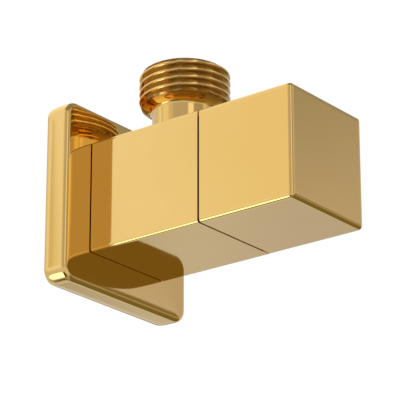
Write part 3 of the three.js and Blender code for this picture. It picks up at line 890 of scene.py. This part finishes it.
def headwork_housing():
    """Nose with stop lugs, hexagon, collar, seal groove, thread, and a sleeve with windows and keyways."""
    collar, neck, groove = 11.3, 9.6, 8.3
    root, crest = HEADWORK_THREAD[:2]
    groove_front = BODY_FRONT + 0.3
    groove_back = groove_front + 2
    collar_back = BODY_FRONT - 0.05
    thread_end = CHAMBER_FRONT - 0.5
    sleeve_end = SEAT_Y - 0.7
    step = 0.02  # a shoulder is this long, so that no two places along the outline are the same
    outline = [
        (NOSE_RADIUS - 0.25, NOSE_FRONT), (NOSE_RADIUS, NOSE_FRONT + 0.25),
        (NOSE_RADIUS, COLLAR_FRONT - step), (collar - 0.25, COLLAR_FRONT), (collar, COLLAR_FRONT + 0.25),
        (collar, collar_back - 0.2), (collar - 0.2, collar_back),
        (neck, collar_back + step), (neck, groove_front - 0.1), (neck - 0.1, groove_front),
        (groove, groove_front + step), (groove, groove_back - 0.1),
        (root, groove_back), (crest, groove_back + 0.5), (crest, thread_end - 0.5), (root, thread_end),
        (SLEEVE_RADIUS, thread_end + step), (SLEEVE_RADIUS, sleeve_end - 0.2),
        (SLEEVE_RADIUS - 0.2, sleeve_end),
    ]
    housing = threaded_rod("headwork_housing", outline, HEADWORK_THREAD, groove_back, thread_end)
    nut = prism("nut", hexagon(19), HEXAGON_FRONT, COLLAR_FRONT + 0.5, 0.3)
    lug = sector(4.6, NOSE_RADIUS - 0.02, -STOP_HALF_SPAN, STOP_HALF_SPAN)
    join(housing, nut, *half_turn(lambda: prism("stop", lug, NOSE_FRONT - 1.5, NOSE_FRONT + 0.5, 0.15)))
    inside = SEAT_Y + 1
    tall = 2 * SLEEVE_RADIUS + 1
    window = block("window", 8, tall, DISC_FRONT - 4.45, DISC_FRONT - 0.2)
    cut(
        housing,
        rod("seal_pocket", 7.25, FIXED_BACK + 0.05, inside),
        rod("cavity", 6.6, CAVITY_FRONT, inside),
        rod("wide_bore", WIDE_JOURNAL + RUNNING_GAP, STEP_Y - 0.1, inside),
        rod("narrow_bore", NARROW_JOURNAL + RUNNING_GAP, NOSE_FRONT - 3, STEP_Y + 1),
        soften(window, 0.5, lambda a, b: abs(a.z - b.z) > MM),
        block("keyway", KEY_WIDTH + 0.3, tall, FIXED_FRONT - 0.1, inside),
    )
    return finish_piece(housing, "valve", "cartridge_housing")


def seals():
    """The housing's seal in the body's mouth, the lip seal on the seat, and the two seals on the stem."""
    mouth = o_ring("mouth_seal", 9.18, 0.8, sum(ends("housing_o_ring")) / 2)
    finish_piece(mouth, "valve", "housing_o_ring")
    front, back = ends("seat_seal")
    inner, outer = 4.6, 7.1
    lip = [
        (inner, front), (outer, front), (outer, back - 0.5),
        (outer - 0.5, back), (inner + 0.6, back), (inner, back - 0.4),
    ]
    lip_seal = turned("lip_seal", rounded(lip, 0.25, closed=True), ring_shaped=True)
    finish_piece(lip_seal, "valve", "seat_seal")
    for side in ("inner", "outer"):
        node = "spindle_o_ring_" + side
        stem_seal = o_ring(side + "_stem_seal", 3.84, 0.58, sum(ends(node)) / 2, SMALL_ROUND)
        finish_piece(stem_seal, "handle", node)


def disc_windows(centre, front, back):
    """Cutters for a disc's two water windows, the first around an angle in degrees."""
    half_span = 38
    window = rounded(sector(1.6, 5, centre - half_span, centre + half_span), 0.3, closed=True)
    return half_turn(lambda: prism("window", window, front - 1, back + 1))


def disc_blank(name, radius, front, back, edge=0.15):
    return turned(name, [
        (radius - edge, front), (radius, front + edge), (radius, back - edge), (radius - edge, back)])


def keyed_disc():
    disc = disc_blank("keyed_disc", 6.3, FIXED_FRONT, FIXED_BACK)
    keys = block("keys", KEY_WIDTH, 2 * node_box("fixed_ceramic_disc")[1].z, FIXED_FRONT, FIXED_BACK)
    join(disc, soften(keys, 0.15))
    cut(disc, *disc_windows(0, FIXED_FRONT, FIXED_BACK))
    return finish_piece(disc, "valve", "fixed_ceramic_disc")


def turning_disc():
    disc = disc_blank("turning_disc", 6.2, DISC_FRONT, DISC_BACK)
    notches = block("notches", 20, KEY_WIDTH + 0.2, DISC_FRONT - 1, DISC_BACK - 1)
    cut(notches, rod("middle", 4, DISC_FRONT - 2, DISC_BACK))
    cut(disc, notches, *disc_windows(90, DISC_FRONT, DISC_BACK))
    return finish_piece(disc, "handle", "moving_ceramic_disc")


def slide_washer():
    front, back = ends("friction_washer")
    inner, outer = WIDE_JOURNAL + RUNNING_GAP, 6.3
    outline = rounded([(inner, front), (outer, front), (outer, back), (inner, back)], 0.12, closed=True)
    shape = turned("slide_washer", outline, ring_shaped=True)
    return finish_piece(shape, "valve", "friction_washer")


# ---------------------------------------------------------------- stem

def stem():
    """A driving bar with two prongs, two journals with seal grooves, stop flats and a spline."""
    back = DISC_FRONT - 0.05
    front = ends("spindle")[0]
    edge = 0.15
    groove_floor, groove_half = 3.2, 0.8
    outline = [(WIDE_JOURNAL - edge, back), (WIDE_JOURNAL, back - edge)]
    for node in ("spindle_o_ring_inner", "spindle_o_ring_outer"):
        middle = sum(ends(node)) / 2
        outline += [
            (WIDE_JOURNAL, middle + groove_half), (groove_floor, middle + groove_half),
            (groove_floor, middle - groove_half), (WIDE_JOURNAL, middle - groove_half),
        ]
    clip_floor = 2.7
    clip_front = CLIP_FRONT - 0.1
    clip_back = CLIP_BACK + 0.05
    outline += [
        (WIDE_JOURNAL, STEP_Y + edge), (WIDE_JOURNAL - edge, STEP_Y), (NARROW_JOURNAL, STEP_Y),
        (NARROW_JOURNAL, clip_back), (clip_floor, clip_back),
        (clip_floor, clip_front), (NARROW_JOURNAL, clip_front), (NARROW_JOURNAL, SPLINE_BACK),
    ]
    shaft = turned("stem", rounded(outline, 0.1))
    bar_length = 11.4
    bar = soften(block("bar", bar_length, 5, back - 4.6, back), 0.2)
    prongs = soften(block("prongs", bar_length, KEY_WIDTH, back - 1, back + 1.1), 0.15)
    cut(prongs, rod("between", 4.3, back, back + 2))
    join(shaft, bar, prongs, prism("teeth", spline(NARROW_JOURNAL), front, SPLINE_BACK + 0.3))
    flat, cutter = 2.7, 4  # the flats' distance from the axis, and the width of what cuts them
    sides = [
        place_mesh(
            block("flat", cutter, 16, clip_back, NOSE_FRONT),
            Matrix.Translation((side * (flat + cutter / 2), 0, 0)),
        )
        for side in (-1, 1)
    ]
    cut(shaft, *sides, rod("screw_hole", 2, front - 1, SPLINE_BACK, SMALL_ROUND))
    return finish_piece(shaft, "handle", "spindle")


def tabbed_washer():
    """A washer on the stem's flats whose two tabs run between the stop lugs of the nose."""
    front, back = ends("stop_washer")
    shape = disc_blank("tabbed_washer", 4.4, front, back, 0.1)
    first = STOP_HALF_SPAN + 1
    tab = sector(3.8, NOSE_RADIUS - 0.2, first, 90 - first)
    join(shape, *half_turn(lambda: prism("tab", tab, front, back, 0.08)))
    half_width = 2.8
    hole = [
        (min(max(x, -half_width), half_width), z)
        for x, y, z in circle(NARROW_JOURNAL + RUNNING_GAP, 0, 144)
    ]
    cut(shape, prism("hole", hole, front - 1, back + 1))
    return finish_piece(shape, "handle", "stop_washer")


def retaining_clip():
    shape = prism("retaining_clip", sector(2.8, 5, -60, 240, 60), CLIP_FRONT, CLIP_BACK, 0.08)
    return finish_piece(shape, "handle", "spindle_circlip")


# ---------------------------------------------------------------- handle fastenings

def adapter_block():
    front, back = ends("spline_adapter")
    outline = [(x, z) for x, y, z in soft_square(6, 0.8, 0, 1, 6, 2)]
    shape = prism("adapter_block", outline, front, back, 0.25)
    cut(shape, prism("socket", spline(NARROW_JOURNAL + 0.15), front - 1, back + 1))
    return finish_piece(shape, "handle", "spline_adapter")


def split_washer():
    front, back = ends("lock_washer")
    shape = prism("split_washer", sector(2.15, 3.6, 8, 352, 60), front, back, 0.08)
    return finish_piece(shape, "handle", "lock_washer")


def pan_head_screw():
    front, back = ends("adapter_screw")
    root, crest = ADAPTER_SCREW_THREAD[:2]
    head = 3.4
    under = front + 1.5
    outline = [
        (head - 1.3, front), (head - 0.75, front + 0.08), (head - 0.35, front + 0.28),
        (head - 0.1, front + 0.6), (head, front + 1.2), (head, under - 0.05), (head - 0.1, under),
        (crest, under + 0.02), (crest, back - 0.3), (root, back),
    ]
    screw = threaded_rod("pan_head_screw", outline, ADAPTER_SCREW_THREAD, under + 0.4, back, SMALL_ROUND)
    cut(screw, *[
        place_mesh(block("slot", 4, 0.8, front - 1, front + 0.9), Matrix.Rotation(turn, 4, "Y"))
        for turn in (0, math.pi / 2)
    ])
    return finish_piece(screw, "handle", "adapter_screw")


def grub_screw():
    """Made about Y and laid along +X, where it locks the knob on its adapter."""
    low, high = node_box("knob_set_screw")
    tip, end = low.x, high.x
    crest = SET_SCREW_THREAD[1]
    outline = [(1.4, tip), (1.6, tip + 0.15), (crest, tip + 0.9), (crest, end - 0.3), (crest - 0.3, end)]
    screw = threaded_rod("grub_screw", outline, SET_SCREW_THREAD, tip + 0.4, end, SMALL_ROUND)
    cut(screw, prism("hexagon_socket", hexagon(2.5), end - 2.4, end + 1))
    place_mesh(screw, Matrix.Translation((0, SET_SCREW_Y, 0)) @ Matrix.Rotation(-math.pi / 2, 4, "Z"))
    return finish_piece(screw, "handle", "knob_set_screw")


# ---------------------------------------------------------------- the assembly

make_camera()
make_studio()
make_floor()
bpy.context.scene.view_settings.view_transform = "Standard"
bpy.context.scene.cycles.use_denoising = True

SLOT_OF = {row["node"]: row["material_slot"] for row in frame["record"]["subparts"]}
MATERIALS = {
    make.__name__: make() for make in
    (polished_gold, machined_brass, stainless_steel, black_rubber, white_ceramic, white_polymer)
}

for make_piece in (
    square_body, flange_plate, square_knob, strainer_cup, grip_ring, headwork_housing, seals,
    keyed_disc, turning_disc, slide_washer, stem, tabbed_washer, retaining_clip,
    adapter_block, split_washer, pan_head_screw, grub_screw,
):
    make_piece()
